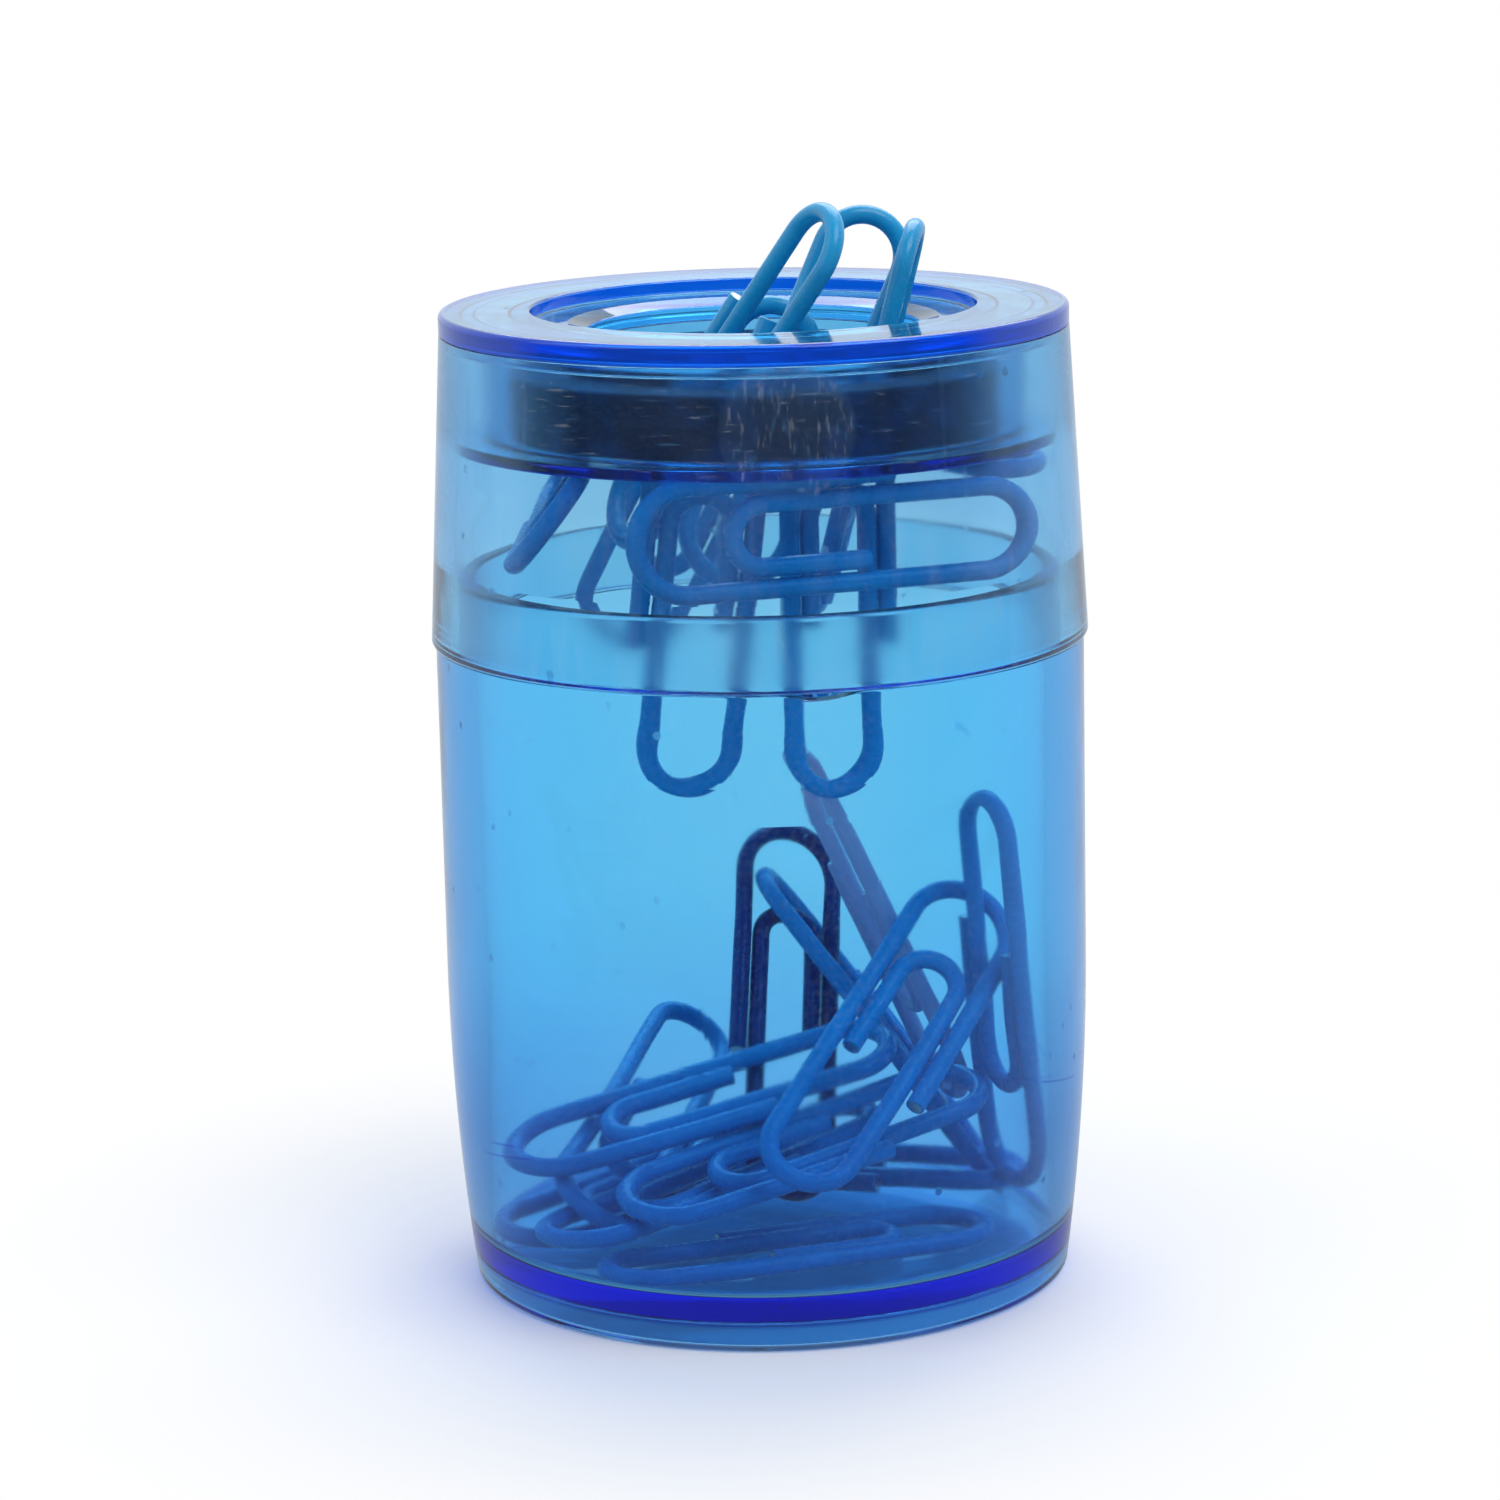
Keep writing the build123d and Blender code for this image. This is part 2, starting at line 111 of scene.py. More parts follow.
def grid_faces(rows, columns, rows_wrap):
    """Four-cornered faces of a grid whose columns run round and whose rows may close up as well."""
    i = np.arange(rows if rows_wrap else rows - 1)[:, None]
    j = np.arange(columns)[None]
    low, high = i * columns, (i + 1) % rows * columns
    j2 = (j + 1) % columns
    return np.stack([low + j, low + j2, high + j2, high + j], -1).reshape(-1, 4)


def fan(ring, pole):
    """Three-cornered faces from one ring to a pole."""
    return np.stack([ring, np.roll(ring, -1), np.full_like(ring, pole)], -1)


def make_piece(name, points, fours, threes, node, slot, material):
    """One smooth piece that stands for a CAD node and rides on its body."""
    fours, threes = outward(points, fours, threes)
    mesh = bpy.data.meshes.new(name)
    mesh.from_pydata((points * MM).tolist(), [], fours.tolist() + threes.tolist())
    mesh.shade_smooth()
    mesh.materials.append(material)
    piece = bpy.data.objects.new(name, mesh)
    bpy.context.scene.collection.objects.link(piece)
    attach(piece, node_body[node])
    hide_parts(node)
    return piece


def lathe(profile, shape=None):
    """A profile of (r, z) spun about the upright axis: x = r cos t, y = r sin t.

    A profile that starts and ends on the axis closes at two poles; any other closes on itself. The
    shape, if there is one, moves the points of the grid.
    """
    turn = np.linspace(0, 2 * np.pi, ROUND_STEPS, endpoint=False)
    poles = profile[0, 0] < 1e-6
    rows = profile[1:-1] if poles else profile
    r, z = rows[:, :1], rows[:, 1:]
    points = np.stack([r * np.cos(turn), r * np.sin(turn), z + 0 * turn], -1)
    if shape is not None:
        points = shape(points)
    count = len(rows)
    fours = grid_faces(count, ROUND_STEPS, not poles)
    threes = np.empty((0, 3), int)
    flat = points.reshape(-1, 3)
    if poles:
        first = np.arange(ROUND_STEPS)
        last = first + (count - 1) * ROUND_STEPS
        total = count * ROUND_STEPS
        flat = np.concatenate([flat, [[0, 0, profile[0, 1]], [0, 0, profile[-1, 1]]]])
        threes = np.concatenate([fan(first[::-1], total), fan(last, total + 1)])
    return flat, fours, threes


def notched(points):
    """Lowers the shoulder inside a shallow cylinder whose axis points at the front: the thumb notch."""
    turn = np.radians(NOTCH_TURN - 90)
    x, y, z = np.moveaxis(points, -1, 0)
    ahead = x * np.cos(turn) + y * np.sin(turn)
    across = -x * np.sin(turn) + y * np.cos(turn)
    radius = (NOTCH_WIDTH**2 / 4 + NOTCH_DEPTH**2) / (2 * NOTCH_DEPTH)
    cut = JOINT - NOTCH_DEPTH + radius - np.sqrt(np.maximum(radius**2 - across**2, 0))
    inside = (ahead > NECK + NOTCH_LEDGE) & (z < JOINT + 0.01) & (np.abs(across) < NOTCH_WIDTH / 2)
    return np.stack([x, y, np.where(inside, np.minimum(z, cut), z)], -1)


def base_profile():
    """Base cup: floor, bore, neck, shoulder, straight side, an arc tangent to it, and the foot ring.

    The shoulder and the top of the side have rows to spare for the notch.
    """
    sag = BELLY - FOOT
    bend = (CURVE_HEIGHT**2 + sag**2) / (2 * sag)
    z = np.linspace(CURVE_HEIGHT, 2, 14)
    curve = BELLY - bend + np.sqrt(bend**2 - (CURVE_HEIGHT - z) ** 2)
    side = np.stack([curve, z, 0 * z], 1).tolist()
    upright = [[BELLY, JOINT - drop, 0] for drop in (0.55, 0.7, 0.9, 1.2, 4, 10, 16)]
    ledge = [[r, JOINT, 0] for r in np.linspace(NECK + 0.35, BELLY - 0.3, 6)]
    return rounded([
        [0, FLOOR_TOP, 0], [BORE_LOW, FLOOR_TOP, 0.8],
        [BORE_TOP, NECK_TOP, 0.3], [NECK, NECK_TOP, 0.3], [NECK, JOINT, 0.1],
        *ledge, [BELLY, JOINT, 0.15], *upright, *side, [FOOT, 0, 0.5],
        [FOOT_BORE, 0, 0.5], [FOOT_BORE, FOOT_RECESS, 0.25], [0, FOOT_RECESS, 0],
    ])


def cap_profile():
    """Cap barrel: lip, tapered outside, edge under the top plate, tapered bore and socket."""
    low, high = JOINT + GLUE, PLATE_SEAT - GLUE
    return rounded([
        [SOCKET, low, 0.2], [LIP, low, 0.2], [CAP_TOP, high, 0.08],
        [CAP_BORE, high, 0.08], [SOCKET, SOCKET_TOP, 0.3],
    ])


def top_profile():
    """Top plate: rounded rim, recess, sloping edge of the mouth, and the spigot under it."""
    spigot = CAP_BORE - SIDE_GAP
    step = RECESS + PLATE_WALL
    return rounded([
        [MOUTH, RECESS_UNDER, 0.12], [step, RECESS_UNDER, 0.12], [step, PLATE_SEAT, 0.12],
        [spigot - SPIGOT, PLATE_SEAT, 0.1], [spigot - SPIGOT, PLATE_SEAT - SPIGOT, 0.1],
        [spigot, PLATE_SEAT - SPIGOT, 0.1], [spigot, PLATE_SEAT, 0.05],
        [CAP_TOP, PLATE_SEAT, 0.1], [CAP_TOP, HEIGHT, 0.35],
        [RECESS, HEIGHT, 0.2], [RECESS, RECESS_FLOOR, 0.2],
        [MOUTH_SLOPE, RECESS_FLOOR, 0.3], [MOUTH, RECESS_FLOOR - SLOPE_DROP, 0.15],
    ])


def tray_profile():
    """Magnet tray: flange out to the cap's bore, outer wall, floor and collar."""
    rise = (TRAY_INSIDE - SOCKET_TOP) / (PLATE_SEAT - SOCKET_TOP)
    flange = SOCKET + (CAP_BORE - SOCKET) * rise - SIDE_GAP
    top = RECESS_UNDER - GLUE
    outer, collar = TRAY - TRAY_WALL, THROAT + TRAY_WALL
    return rounded([
        [THROAT, TRAY_UNDER, 0.2], [flange, TRAY_UNDER, 0.15], [flange, TRAY_INSIDE, 0.1],
        [TRAY, TRAY_INSIDE, 0.15], [TRAY, top, 0.1], [outer, top, 0.1], [outer, TRAY_INSIDE, 0.2],
        [collar, TRAY_INSIDE, 0.2], [collar, top, 0.1], [THROAT, top, 0.1],
    ])


def magnet_profile():
    """Ring magnet: a plain ring with slightly broken edges."""
    low, high = TRAY_INSIDE + MAGNET_GAP, TRAY_INSIDE + MAGNET_HEIGHT
    return rounded([
        [MAGNET_BORE, low, 0.15], [MAGNET, low, 0.15], [MAGNET, high, 0.2], [MAGNET_BORE, high, 0.2],
    ])


# One paper clip in its own plane: cut ends, and each bend as (u, v, radius, side)
WIRE = 0.65
CLIP_START, CLIP_FINISH = (4.2, -3.55), (2.5, 2.1)
CLIP_BENDS = ((-9.8, 0, 3.55, -1), (10.525, 0.725, 2.825, 1), (-4.75, 0, 2.1, -1))
# Flats and chords of the CAD clip, and those of the drawn wire
CAD_SIDES, CAD_CHORDS = 8, 5
WIRE_SIDES, BEND_STEPS = 24, 28
# Rings at a cut end: how far in they lie, and how much thinner all but the last are
CUT_STEPS, CUT_TAPER = ((0.0,), (0.004,), (0.03,), (0.1,)), (0.17, 0.06, 0.02)


def clip_line(steps):
    """A clip's centreline: straight legs, and half circles u + side r cos t, v - side r sin t."""
    turn = np.linspace(-np.pi / 2, np.pi / 2, steps + 1)
    bends = [
        np.stack([u + side * r * np.cos(turn), v - side * r * np.sin(turn)], 1)
        for u, v, r, side in CLIP_BENDS
    ]
    return np.concatenate([[CLIP_START], *bends, [CLIP_FINISH]])


def wire_rings(line, sides, radii, mitred):
    """Rings round a flat centreline: radius times (cos p across the line + sin p out of its plane).

    A mitred ring is widened where the line turns, as a cut on the bisector widens it.
    """
    step = unit(np.diff(line, axis=0))
    before = np.concatenate([step[:1], step])
    after = np.concatenate([step, step[-1:]])
    along = unit(before + after)
    widen = 1 / (along * before).sum(1) if mitred else np.ones(len(line))
    across = np.stack([-along[:, 1], along[:, 0]], 1) * widen[:, None]
    p = np.arange(sides) * 2 * np.pi / sides
    flat = line[:, None] + radii[:, None, None] * np.cos(p)[None, :, None] * across[:, None]
    out = radii[:, None] * np.sin(p)
    return np.concatenate([flat, out[..., None]], -1)


def principal_frame(points):
    """Centre and right-handed principal axes, each turned so that its third moment is positive."""
    centre = points.mean(0)
    spread = points - centre
    _, axes = np.linalg.eigh(spread.T @ spread)
    long, wide = axes[:, 2], axes[:, 1]
    long = long * np.sign(((spread @ long) ** 3).sum())
    wide = wide * np.sign(((spread @ wide) ** 3).sum())
    return centre, np.stack([long, wide, np.cross(long, wide)])


def clip_pose(node):
    """Turn and shift that carry a clip from its own plane to where its CAD node lies."""
    mesh = frame["nodes"][node].data
    found = np.empty(len(mesh.vertices) * 3, np.float32)
    mesh.vertices.foreach_get("co", found)
    found = np.unique(np.round(found.reshape(-1, 3).astype(float) / MM, 3), axis=0)
    line = clip_line(CAD_CHORDS)
    model = wire_rings(line, CAD_SIDES, np.full(len(line), WIRE), True).reshape(-1, 3)
    centre, axes = principal_frame(model)
    place, there = principal_frame(found)
    turn = axes.T @ there
    return turn, place - centre @ turn


def clip_surface(node):
    """A round wire with blunt cut ends, carried along the clip's centreline to its node's place.

    The last array is 1 on the cut ends and 0 elsewhere.
    """
    line = clip_line(BEND_STEPS)
    step = unit(np.diff(line, axis=0))
    near = np.array(CUT_STEPS)
    line = np.concatenate([line[0] + near * step[0], line[1:-1], line[-1] - near[::-1] * step[-1]])
    radii = np.full(len(line), WIRE)
    radii[:3] -= CUT_TAPER
    radii[-3:] = radii[2::-1]
    rings = wire_rings(line, WIRE_SIDES, radii, False)
    turn, shift = clip_pose(node)
    count = len(line)
    total = count * WIRE_SIDES
    ends = np.pad(line[[0, -1]], ((0, 0), (0, 1)))
    points = np.concatenate([rings.reshape(-1, 3), ends]) @ turn + shift
    first = np.arange(WIRE_SIDES)
    last = first + total - WIRE_SIDES
    fours = grid_faces(count, WIRE_SIDES, False)
    threes = np.concatenate([fan(first[::-1], total), fan(last, total + 1)])
    cut = np.zeros(len(points), np.float32)
    cut[:WIRE_SIDES] = 1
    cut[total - WIRE_SIDES:] = 1
    return points, fours, threes, cut


class Finish:
    """The node tree of a material or of the world, with short ways to add nodes and join them."""

    def __init__(self, owner, output="OutputMaterial"):
        owner.use_nodes = True
        self.owner = owner
        self.tree = owner.node_tree
        self.tree.nodes.clear()
        self.out = self.add(output)

    def add(self, kind, settings=None, **inputs):
        """A node with its settings, and its inputs set to values or joined to other nodes' outputs.

        An input is named with _ for a space, or by its number as i0, i1 and so on.
        """
        node = self.tree.nodes.new("ShaderNode" + kind)
        for key, value in (settings or {}).items():
            setattr(node, key, value)
        for key, value in inputs.items():
            numbered = key[0] == "i" and key[1:].isdigit()
            self.put(value, node.inputs[int(key[1:]) if numbered else key.replace("_", " ")])
        return node

    def put(self, value, socket):
        """Sets a socket to a value, or joins it to another node's output."""
        if isinstance(value, bpy.types.NodeSocket):
            self.tree.links.new(value, socket)
        else:
            socket.default_value = value

    def show(self, shader, socket="Surface"):
        """Joins a shader to the output."""
        self.tree.links.new(shader.outputs[0], self.out.inputs[socket])

    def where(self):
        """The object's own coordinates."""
        return self.add("TexCoord").outputs["Object"]

    def axes(self, vector):
        """The X, Y and Z of a vector."""
        return self.add("SeparateXYZ", Vector=vector).outputs

    def stretch(self, vector, scale):
        """Coordinates stretched along each axis."""
        return self.add("Mapping", Vector=vector, Scale=scale).outputs["Vector"]

    def noise(self, vector, scale, detail=2.0):
        """Soft cloudy noise from 0 to 1."""
        return self.add("TexNoise", Vector=vector, Scale=scale, Detail=detail).outputs["Fac"]

    def band(self, value, low, high, start=0.0, end=1.0):
        """A value carried from one range to another, and held at its ends."""
        node = self.add("MapRange", Value=value, From_Min=low, From_Max=high, To_Min=start, To_Max=end)
        return node.outputs["Result"]

    def math(self, operation, a, b=0.0):
        """Arithmetic on two values."""
        return self.add("Math", {"operation": operation}, i0=a, i1=b).outputs[0]

    def product(self, first, *others):
        """Values multiplied together."""
        for other in others:
            first = self.math("MULTIPLY", first, other)
        return first

    def largest(self, first, *others):
        """The greatest of the values."""
        for other in others:
            first = self.math("MAXIMUM", first, other)
        return first

    def mix(self, share, a, b):
        """A colour between two colours."""
        return self.add("Mix", {"data_type": "RGBA"}, i0=share, i6=a, i7=b).outputs[2]

    def blend(self, share, a, b):
        """A shader between two shaders."""
        return self.add("MixShader", i0=share, i1=a.outputs[0], i2=b.outputs[0])


# What the dye of the clear plastic lets through, and how fast it takes the rest, per metre
DYE, DYE_DENSITY = (0.02, 0.75, 0.988, 1), 368.0
# Painted deep blue along the rim of the top plate, for light filtered along the plate, and painted shade
# blue in the side at the cup's floor, also drawn along two thin lines on the front wall
PAINTED_RIM_BLUE, PAINTED_SHADE_AND_LINE_BLUE = (0.001, 0.085, 0.8, 1), (0.0008, 0.1, 0.6, 1)
CLEAN, GRIME = (1, 1, 1, 1), (0.28, 0.4, 0.72, 1)
# What each clear wall leaves of the lamps' light in its shadow
SHADOW_TINT = (0.87, 0.89, 0.93, 1)
PLASTIC_IOR = 1.49


def clear_plastic(name, density, haze, scuffs, dirt,
                  more_haze=None, soiled=None, painted_blue=None, waves=None, clearness=None):
    """Clear plastic: dye that absorbs inside, hazy patches, hairline scratches and dust specks.

    haze holds the roughness of the clearest and the haziest patches; scuffs and dirt are the shares of
    the scratches and the grime. The rest are functions of the tree and the place: haze to add, where
    grime lies, where a painted deep blue lies (with that colour: painted shade, or light filtered along
    the plastic), unevenness to add, and clearness.
    """
    f = Finish(bpy.data.materials.new(name))
    where = f.where()
    upright = f.band(f.noise(f.stretch(where, (900.0, 900.0, 60.0)), 1.0, 3.0), 0.66, 0.72)
    level = f.band(f.noise(f.stretch(where, (70.0, 70.0, 1400.0)), 1.0, 3.0), 0.68, 0.74)
    scratches = f.largest(upright, level)
    dots = f.add("TexVoronoi", Vector=where, Scale=420.0).outputs["Distance"]
    specks = f.product(f.band(dots, 0.16, 0.1), f.band(f.noise(where, 260.0, 1.0), 0.62, 0.66))

    rough = f.band(f.noise(where, 90.0, 4.0), 0.35, 0.75, *haze)
    rough = f.math("ADD", rough, f.product(scratches, scuffs))
    rough = f.math("ADD", rough, f.product(specks, 0.3))
    if more_haze is not None:
        rough = f.math("ADD", rough, more_haze(f, where))

    grime = f.band(f.noise(where, 55.0, 5.0), 0.3, 0.7, 0.5 * dirt, dirt)
    if soiled is not None:
        grime = f.product(grime, soiled(f, where))
    colour = f.mix(f.largest(grime, f.product(specks, 0.4)), CLEAN, GRIME)
    # Painted deep blue where given: painted shade, or light filtered along the plastic
    if painted_blue is not None:
        share, painted_blue_colour = painted_blue
        colour = f.mix(share(f, where), colour, painted_blue_colour)

    height = f.math("ADD", f.product(f.noise(where, 160.0, 1.0), 0.24), f.product(scratches, -0.008))
    if waves is not None:
        height = f.math("ADD", height, waves(f, where))
    bump = f.add("Bump", Strength=1.0, Distance=0.1 * MM, Height=height).outputs["Normal"]

    plastic = f.add("BsdfPrincipled", Base_Color=colour, Roughness=rough, Normal=bump)
    plastic.inputs["IOR"].default_value = PLASTIC_IOR
    plastic.inputs["Transmission Weight"].default_value = 1.0
    if clearness is not None:
        f.put(clearness(f, where), plastic.inputs["Transmission Weight"])
    lets_light = f.add("BsdfTransparent", Color=SHADOW_TINT)
    f.show(f.blend(f.add("LightPath").outputs["Is Shadow Ray"], plastic, lets_light))
    f.show(f.add("VolumeAbsorption", Color=DYE, Density=density), "Volume")
    return f.owner


def off_axis(f, where):
    """Distance from the upright axis."""
    axes = f.axes(where)
    return f.math("SQRT", f.math("ADD", *(f.product(axes[a], axes[a]) for a in "XY")))


# Base: height and depth between which the front wall is uneven, and the two hairlines' ends (x, z)
WAVES_FROM, WAVES_TO, WAVES_DEPTH = (36.0, 38.5), (44.0, 42.0), (-14.0, -18.0)
HAIRLINES = (((-20.0, 10.8), (-15.3, 12.09)), ((17.7, 16.01), (21.3, 14.39)))
# Heights at which the painted shade belt at the floor starts and stops, and over which the painted shade
# on the side deepens downwards
PAINTED_BELT_FROM, PAINTED_BELT_TO, SIDE_PAINTED_SHADE = (1.5, 1.9), (4.1, 3.6), (23.0, 12.0)


def mm_band(f, value, ends, start=0.0, end=1.0):
    """A band between two places given in millimetres."""
    return f.band(value, ends[0] * MM, ends[1] * MM, start, end)


def neck_haze(f, where):
    """Satin from the mould on the neck, above the joint."""
    return mm_band(f, f.axes(where)["Z"], (JOINT, JOINT + 0.3), 0.0, 0.16)


def wall_waves(f, where):
    """Uneven thickness of the front wall for a few millimetres below the shoulder."""
    axes = f.axes(where)
    zone = f.product(mm_band(f, axes["Z"], WAVES_FROM), mm_band(f, axes["Z"], WAVES_TO))
    return f.product(zone, mm_band(f, axes["Y"], WAVES_DEPTH), f.product(f.noise(where, 300.0, 0.0), 0.9))


def base_clearness(f, where):
    """Clearness of the base: a little less in thin drifts of dust on its outside."""
    fine = f.band(f.noise(where, 3600.0, 2.0), 0.45, 0.75)
    drift = f.band(f.noise(f.stretch(where, (70.0, 70.0, 40.0)), 1.0, 3.0), 0.42, 0.7, 0.0, 0.05)
    outside = f.math("GREATER_THAN", off_axis(f, where), (NECK + 0.2) * MM)
    return f.math("SUBTRACT", 1.0, f.product(outside, fine, drift))


def painted_floor_shade(f, where):
    """Painted shade: deep blue where the cup's floor meets the side, for the shade under the cup and light
    filtered along its floor, and a weaker painted shade that fades out up the curve.
    """
    z = f.axes(where)["Z"]
    belt = f.product(mm_band(f, z, PAINTED_BELT_FROM), mm_band(f, z, PAINTED_BELT_TO, 0.0, 0.95))
    outside = f.math("GREATER_THAN", off_axis(f, where), (FOOT - 0.5) * MM)
    return f.product(f.largest(belt, mm_band(f, z, SIDE_PAINTED_SHADE, 0.0, 0.4)), outside)


def hairline(f, where, start, end):
    """A thin line on the front wall, straight in x and z from one end to the other."""
    axes = f.axes(where)
    run, rise = (end[0] - start[0]) * MM, (end[1] - start[1]) * MM
    share = f.math("DIVIDE", f.math("SUBTRACT", axes["X"], start[0] * MM), run)
    level = f.math("ADD", f.product(share, rise), start[1] * MM)
    off = f.math("ABSOLUTE", f.math("SUBTRACT", axes["Z"], level))
    line = f.product(mm_band(f, off, (0.12, 0.05)), f.math("LESS_THAN", axes["Y"], 0.0))
    length = f.product(f.band(share, 0.0, 0.2), f.band(share, 1.0, 0.8))
    return f.product(line, length, 0.9)


def painted_shade_and_lines(f, where):
    """Painted shade blue at the floor, and deep blue along two thin lines on the front wall."""
    return f.largest(painted_floor_shade(f, where), *(hairline(f, where, *ends) for ends in HAIRLINES))


def above_neck(f, where):
    """Grime gathers on the cap only above the neck that it is pushed over."""
    return mm_band(f, f.axes(where)["Z"], (NECK_TOP - 1, NECK_TOP + 1))


# The rubbed patch on the cap: its middle (x, z), and the radii between which it fades
PATCH_X, PATCH_Z, PATCH_EDGE = 1.9, 61.4, (4.5, 4.2)


def rubbed_patch(f, where):
    """A round patch on the front of the cap, over the magnet, about nine millimetres across."""
    axes = f.axes(where)
    x = f.math("SUBTRACT", axes["X"], PATCH_X * MM)
    z = f.math("SUBTRACT", axes["Z"], PATCH_Z * MM)
    far = f.math("SQRT", f.math("ADD", f.product(x, x), f.product(z, z)))
    return f.product(mm_band(f, far, PATCH_EDGE), f.math("LESS_THAN", axes["Y"], 0.0))


def cap_haze(f, where):
    """The cap is hazier over the tray, and slightly dull on the rubbed patch."""
    high = mm_band(f, f.axes(where)["Z"], (TRAY_UNDER, TRAY_UNDER + 1.5), 0.0, 0.08)
    return f.math("ADD", high, f.product(rubbed_patch(f, where), 0.1))


def cap_clearness(f, where):
    """Clearness of the cap: less where dust or scratches dull it.

    Dust lies in drifts and upright wipes, level streaks run round over the tray, and the rubbed patch
    has slanting scratches.
    """
    z = f.axes(where)["Z"]
    fine = f.band(f.noise(where, 5200.0, 2.0), 0.5, 0.75)
    blots = f.band(f.noise(f.stretch(where, (160.0, 160.0, 80.0)), 1.0, 4.0), 0.4, 0.7)
    wipes = f.band(f.noise(f.stretch(where, (850.0, 850.0, 110.0)), 1.0, 3.0), 0.45, 0.75)
    drift = f.product(f.largest(blots, wipes), mm_band(f, z, (TRAY_UNDER - 2, TRAY_UNDER), 0.1, 0.03))
    dust = f.product(f.math("ADD", f.product(fine, 0.6), 0.4), drift)
    level = f.noise(f.stretch(where, (450.0, 450.0, 5200.0)), 1.0, 2.0)
    over_tray = mm_band(f, z, (TRAY_UNDER, TRAY_INSIDE))
    streaks = f.product(f.band(level, 0.64, 0.74, 0.0, 0.12), over_tray)
    slant = f.add("Mapping", Vector=where, Rotation=(0, 0.6, 0), Scale=(3600.0, 3600.0, 700.0))
    rubs = f.band(f.noise(slant.outputs["Vector"], 1.0, 2.0), 0.58, 0.72, 0.0, 0.1)
    patch = f.product(rubbed_patch(f, where), f.math("ADD", rubs, 0.012))
    return f.math("SUBTRACT", 1.0, f.largest(dust, streaks, patch))


def rim_painted_blue(f, where):
    """Painted deep blue along the rim of the top plate, standing in for light filtered along the plate's
    length.
    """
    return mm_band(f, off_axis(f, where), (CAP_TOP - 0.42, CAP_TOP - 0.22))


def top_clearness(f, where):
    """Clearness of the top plate: half along the rim, where the painted deep blue lies."""
    return f.band(rim_painted_blue(f, where), 0.0, 1.0, 1.0, 0.5)


def ferrite():
    """Sintered black ferrite: fine pits and dust, both tones tinted blue as a painted cast of light
    through the blue cap.
    """
    f = Finish(bpy.data.materials.new("magnet_ferrite"))
    where = f.where()
    grain = f.noise(where, 2200.0, 4.0)
    dust = f.band(f.noise(where, 300.0, 5.0), 0.45, 0.8)
    # Both tones are tinted blue: a painted cast of the light that comes through the blue cap
    colour = f.mix(dust, (0.004, 0.013, 0.06, 1), (0.04, 0.1, 0.26, 1))
    bump = f.add("Bump", Strength=0.5, Distance=0.2 * MM, Height=grain).outputs["Normal"]
    rough = f.band(grain, 0.3, 0.7, 0.5, 0.8)
    body = f.add("BsdfPrincipled", Base_Color=colour, Roughness=rough, Normal=bump)
    body.inputs["Specular IOR Level"].default_value = 0.25
    f.show(body)
    return f.owner


# Bare steel at a clip's cut ends
STEEL = (0.62, 0.63, 0.65, 1)


def coated_wire(name, colour, shade):
    """Vinyl-coated steel wire: slightly uneven coat, fine grip texture, and bare steel at the cut ends."""
    f = Finish(bpy.data.materials.new(name))
    where = f.where()
    coat = f.mix(f.band(f.noise(where, 220.0, 3.0), 0.3, 0.7), (*shade, 1), (*colour, 1))
    cut = f.add("Attribute", {"attribute_name": "cut"}).outputs["Fac"]
    bare = f.band(cut, 0.45, 0.55)
    grain = f.noise(where, 1500.0, 3.0)
    bump = f.add("Bump", Strength=0.12, Distance=0.1 * MM, Height=grain).outputs["Normal"]
    rough = f.band(grain, 0.3, 0.7, 0.2, 0.32)
    paint = f.mix(bare, coat, STEEL)
    body = f.add("BsdfPrincipled", Base_Color=paint, Metallic=bare, Roughness=rough, Normal=bump)
    body.inputs["Specular IOR Level"].default_value = 0.45
    f.show(body)
    return f.owner


# The base: painted shade blue at its floor, and two thin deep blue lines on its front wall
clear_blue = clear_plastic(
    "clear_blue", DYE_DENSITY, haze=(0.02, 0.1), scuffs=0.05, dirt=0.01, more_haze=neck_haze,
    painted_blue=(painted_shade_and_lines, PAINTED_SHADE_AND_LINE_BLUE), waves=wall_waves, clearness=base_clearness)
clear_cap = clear_plastic(
    "clear_cap", 1.12 * DYE_DENSITY, haze=(0.02, 0.09), scuffs=0.1, dirt=0.26, more_haze=cap_haze,
    soiled=above_neck, clearness=cap_clearness)
# The top plate's rim gets painted deep blue for light filtered along the plate
clear_top = clear_plastic(
    "clear_top", DYE_DENSITY, haze=(0.03, 0.12), scuffs=0.06, dirt=0.03,
    painted_blue=(rim_painted_blue, PAINTED_RIM_BLUE), clearness=top_clearness)
clear_tray = clear_plastic("clear_tray", 1.6 * DYE_DENSITY, haze=(0.03, 0.12), scuffs=0.06, dirt=0.05)
dark_ferrite = ferrite()
wires = {
    "clip_blue": coated_wire("blue_wire", (0.012, 0.37, 0.73), (0.009, 0.3, 0.63)),
    "clip_navy": coated_wire("navy_wire", (0.012, 0.04, 0.24), (0.009, 0.03, 0.18)),
    "clip_lilac": coated_wire("lilac_wire", (0.85, 0.52, 0.72), (0.78, 0.46, 0.66)),
}

make_piece("base_shell", *lathe(base_profile(), notched), "base_cup", "clear_blue", clear_blue)
make_piece("cap_shell", *lathe(cap_profile()), "cap_barrel", "clear_pale_blue", clear_cap)
make_piece("top_dish", *lathe(top_profile()), "top_plate", "clear_blue", clear_top)
make_piece("tray_shell", *lathe(tray_profile()), "magnet_tray", "clear_blue", clear_tray)
make_piece("magnet_ring", *lathe(magnet_profile()), "ring_magnet", "magnet_black", dark_ferrite)

for node in sorted(n for n in frame["nodes"] if n.startswith("clip_")):
    slot = node if node in wires else "clip_blue"
    *surface, cut = clip_surface(node)
    piece = make_piece("wire_" + node.removeprefix("clip_"), *surface, node, slot, wires[slot])
    piece.data.attributes.new("cut", "FLOAT", "POINT").data.foreach_set("value", cut)


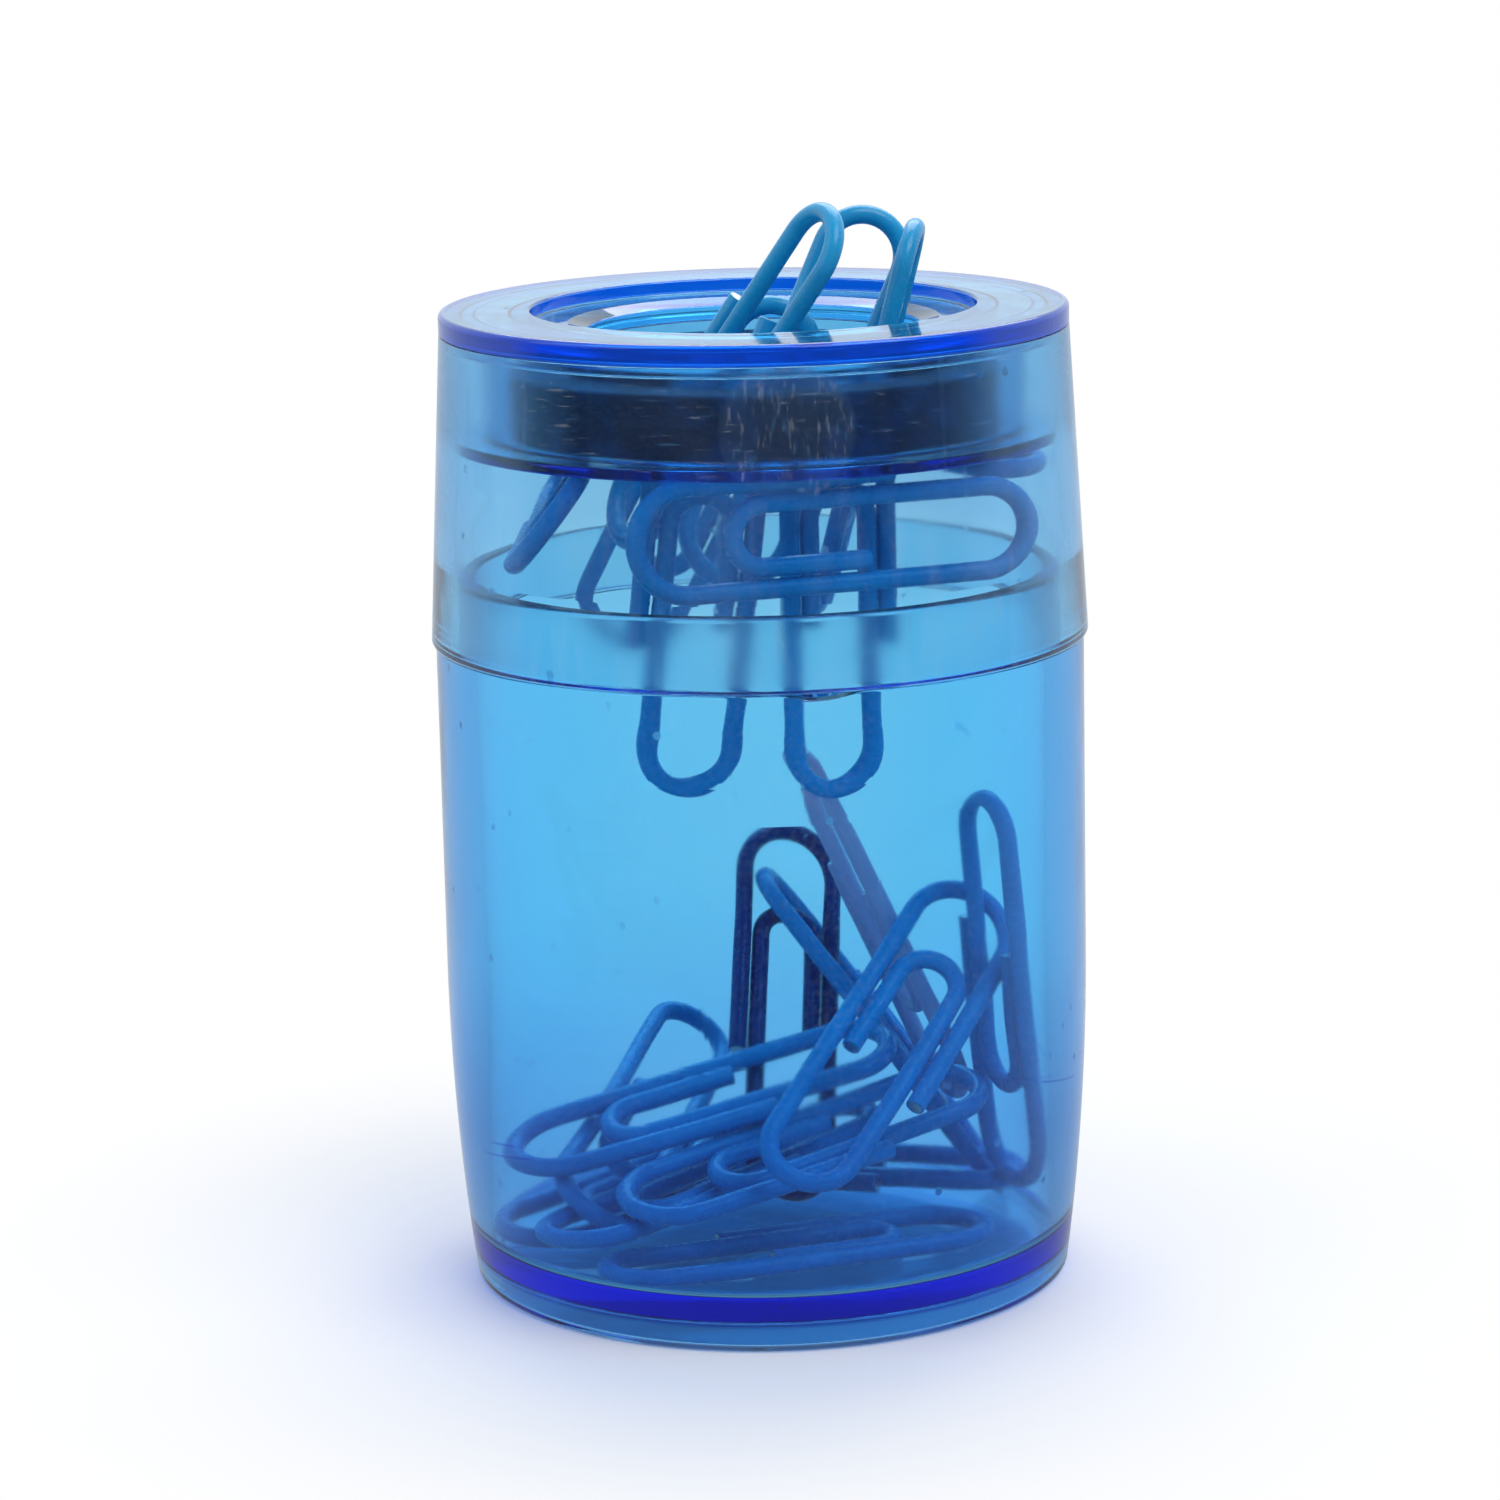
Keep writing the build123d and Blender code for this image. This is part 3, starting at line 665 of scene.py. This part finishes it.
# Share of white that gloss mirrors from the camera's side of the room
FRONT_GLOW = 0.1
# Floor, in metres: half its width, and the distances from the holder's axis over which shade gives way
# to white, as the camera sees it and as it shows through clear walls
FLOOR_REACH, SHADE_FADES, THROUGH_FADES = 3.0, (0.027, 0.06), (0.026, 0.1)
WHITE = (1, 1, 1, 1)


def pale_floor():
    """A wide white floor that keeps the holder's soft shadow; gloss mirrors its front part as dim."""
    f = Finish(bpy.data.materials.new("pale_floor"))
    where = f.where()
    tone = f.band(f.noise(where, 6.0, 3.0), 0.3, 0.7)
    colour = f.mix(tone, (0.9, 0.91, 0.935, 1), (0.915, 0.925, 0.945, 1))
    lit = f.add("BsdfPrincipled", Base_Color=colour, Roughness=0.9)
    lit.inputs["Specular IOR Level"].default_value = 0.0
    path = f.add("LightPath").outputs
    away = f.add("VectorMath", {"operation": "LENGTH"}, i0=where).outputs["Value"]
    seen = f.product(path["Is Camera Ray"], f.band(away, *SHADE_FADES))
    sharp = f.largest(path["Is Glossy Ray"], path["Is Transmission Ray"])
    through = f.product(sharp, f.band(away, *THROUGH_FADES))
    white = f.add("Emission", Color=WHITE, Strength=1.0)
    plain = f.blend(f.largest(seen, through), lit, white)
    back = f.band(f.axes(where)["Y"], -0.09, 0.06, FRONT_GLOW, 0.8)
    dim = f.add("Emission", Color=(0.82, 0.9, 1, 1), Strength=back)
    mirrored = f.product(path["Is Glossy Ray"], f.math("GREATER_THAN", path["Glossy Depth"], 0.5))
    f.show(f.blend(mirrored, plain, dim))
    corners = [(x * FLOOR_REACH, y * FLOOR_REACH, 0) for x, y in ((-1, -1), (1, -1), (1, 1), (-1, 1))]
    mesh = bpy.data.meshes.new("floor")
    mesh.from_pydata(corners, [], [(0, 1, 2, 3)])
    mesh.materials.append(f.owner)
    floor = bpy.data.objects.new("floor", mesh)
    bpy.context.scene.collection.objects.link(floor)


def white_world(strength):
    """White surroundings for the camera and for what shows through the clear walls.

    Gloss mirrors white from behind and a dim room in front, and the light that falls on matt surfaces
    is softer.
    """
    world = bpy.data.worlds.new("studio")
    bpy.context.scene.world = world
    f = Finish(world, "OutputWorld")
    path = f.add("LightPath").outputs
    way = f.axes(f.add("TexCoord").outputs["Generated"])
    glow = f.band(way["Y"], -0.3, 0.4, FRONT_GLOW, 1.1)
    shown = f.add("Background", Color=WHITE, Strength=1.0)
    mirrored = f.add("Background", Color=(0.82, 0.91, 1, 1), Strength=glow)
    light = f.add("Background", Color=(0.95, 0.97, 1, 1), Strength=strength)
    sharp = f.largest(path["Is Glossy Ray"], path["Is Transmission Ray"])
    sharp = f.product(sharp, f.math("LESS_THAN", path["Diffuse Depth"], 0.5))
    clear = f.blend(f.math("GREATER_THAN", path["Glossy Depth"], 0.5), shown, mirrored)
    f.show(f.blend(path["Is Camera Ray"], f.blend(sharp, light, clear), shown))


def soft_lamp(name, place, target, size, power):
    """A square soft lamp that looks at a point."""
    light = bpy.data.lights.new(name, "AREA")
    light.shape = "SQUARE"
    light.size = size
    light.energy = power
    lamp = bpy.data.objects.new(name, light)
    bpy.context.scene.collection.objects.link(lamp)
    lamp.location = place
    aim_z = unit(np.subtract(place, target))
    aim_x = unit(np.cross((0, 0, 1), aim_z))
    turn = np.stack([aim_x, np.cross(aim_z, aim_x), aim_z], 1)
    lamp.rotation_euler = mathutils.Matrix(turn.tolist()).to_euler()


# Camera: sensor and focal length, place in millimetres, and tilt and roll in degrees
SENSOR, FOCAL_LENGTH = 36.0, 117.12
CAMERA_PLACE, CAMERA_TILT, CAMERA_ROLL = (-0.85, -327.0, 107.6), 77.7, -1.22


def photo_camera():
    """The camera: a long lens in front, looking down a little and rolled slightly."""
    data = bpy.data.cameras.new("camera")
    data.sensor_width = SENSOR
    data.lens = FOCAL_LENGTH
    camera = bpy.data.objects.new("camera", data)
    bpy.context.scene.collection.objects.link(camera)
    camera.location = [value * MM for value in CAMERA_PLACE]
    tilt = mathutils.Matrix.Rotation(np.radians(CAMERA_TILT), 4, "X")
    roll = mathutils.Matrix.Rotation(np.radians(CAMERA_ROLL), 4, "Z")
    camera.rotation_euler = (tilt @ roll).to_euler()
    bpy.context.scene.camera = camera


LAMP_TARGET = (0, 0, 0.03)
pale_floor()
white_world(0.42)
soft_lamp("key_lamp", (0.3, -0.3, 0.65), LAMP_TARGET, 0.5, 2.3)
soft_lamp("fill_lamp", (-0.5, -0.2, 0.4), LAMP_TARGET, 0.5, 0.7)
soft_lamp("back_lamp", (0.05, 0.45, 0.6), LAMP_TARGET, 0.6, 3.2)
photo_camera()
bpy.context.scene.view_settings.view_transform = "Standard"
